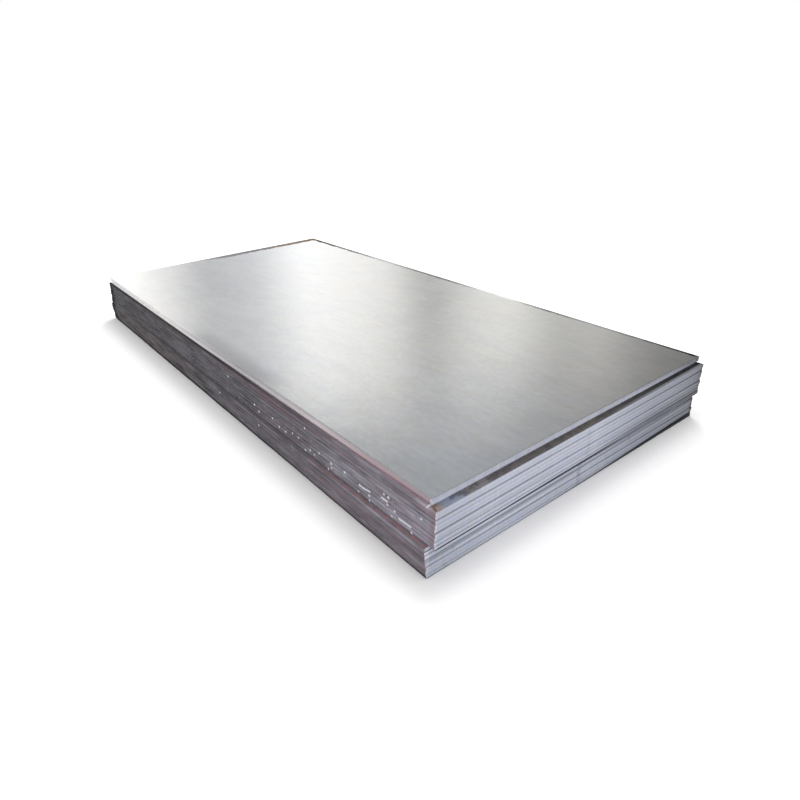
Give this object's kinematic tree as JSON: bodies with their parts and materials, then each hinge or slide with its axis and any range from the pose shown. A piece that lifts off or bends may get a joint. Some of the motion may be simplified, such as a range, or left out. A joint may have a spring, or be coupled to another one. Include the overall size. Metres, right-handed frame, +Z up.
{
  "type": "steel plate stack",
  "caption": "Stack of thick rectangular steel plates lying flat, the upper pack overhanging the lower at one end, raw stock for cutting and fabrication",
  "frame": {"origin": "middle of the stack's footprint, on the floor it rests on", "axes": "+X along the plates' length, +Y across their width, +Z up"},
  "size_m": [2.5262, 1.2842, 0.217],
  "materials": {
    "top_steel": "smooth mill finish, softly reflective",
    "pack_steel": "sheared ends bright, long edges dull grey with thin rust lines between plates"
  },
  "bodies": {
    "root": {"lower_pack_plate_01": "pack_steel", "lower_pack_plate_02": "pack_steel", "lower_pack_plate_03": "pack_steel", "lower_pack_plate_04": "pack_steel", "lower_pack_plate_05": "pack_steel", "lower_pack_plate_06": "pack_steel", "lower_pack_plate_07": "pack_steel", "upper_pack_plate_01": "pack_steel", "upper_pack_plate_02": "pack_steel", "upper_pack_plate_03": "pack_steel", "upper_pack_plate_04": "pack_steel", "upper_pack_plate_05": "pack_steel", "upper_pack_plate_06": "pack_steel", "upper_pack_plate_07": "pack_steel", "upper_pack_plate_08": "pack_steel", "upper_pack_plate_09": "pack_steel", "top_plate": "top_steel"}
  },
  "joints": []
}
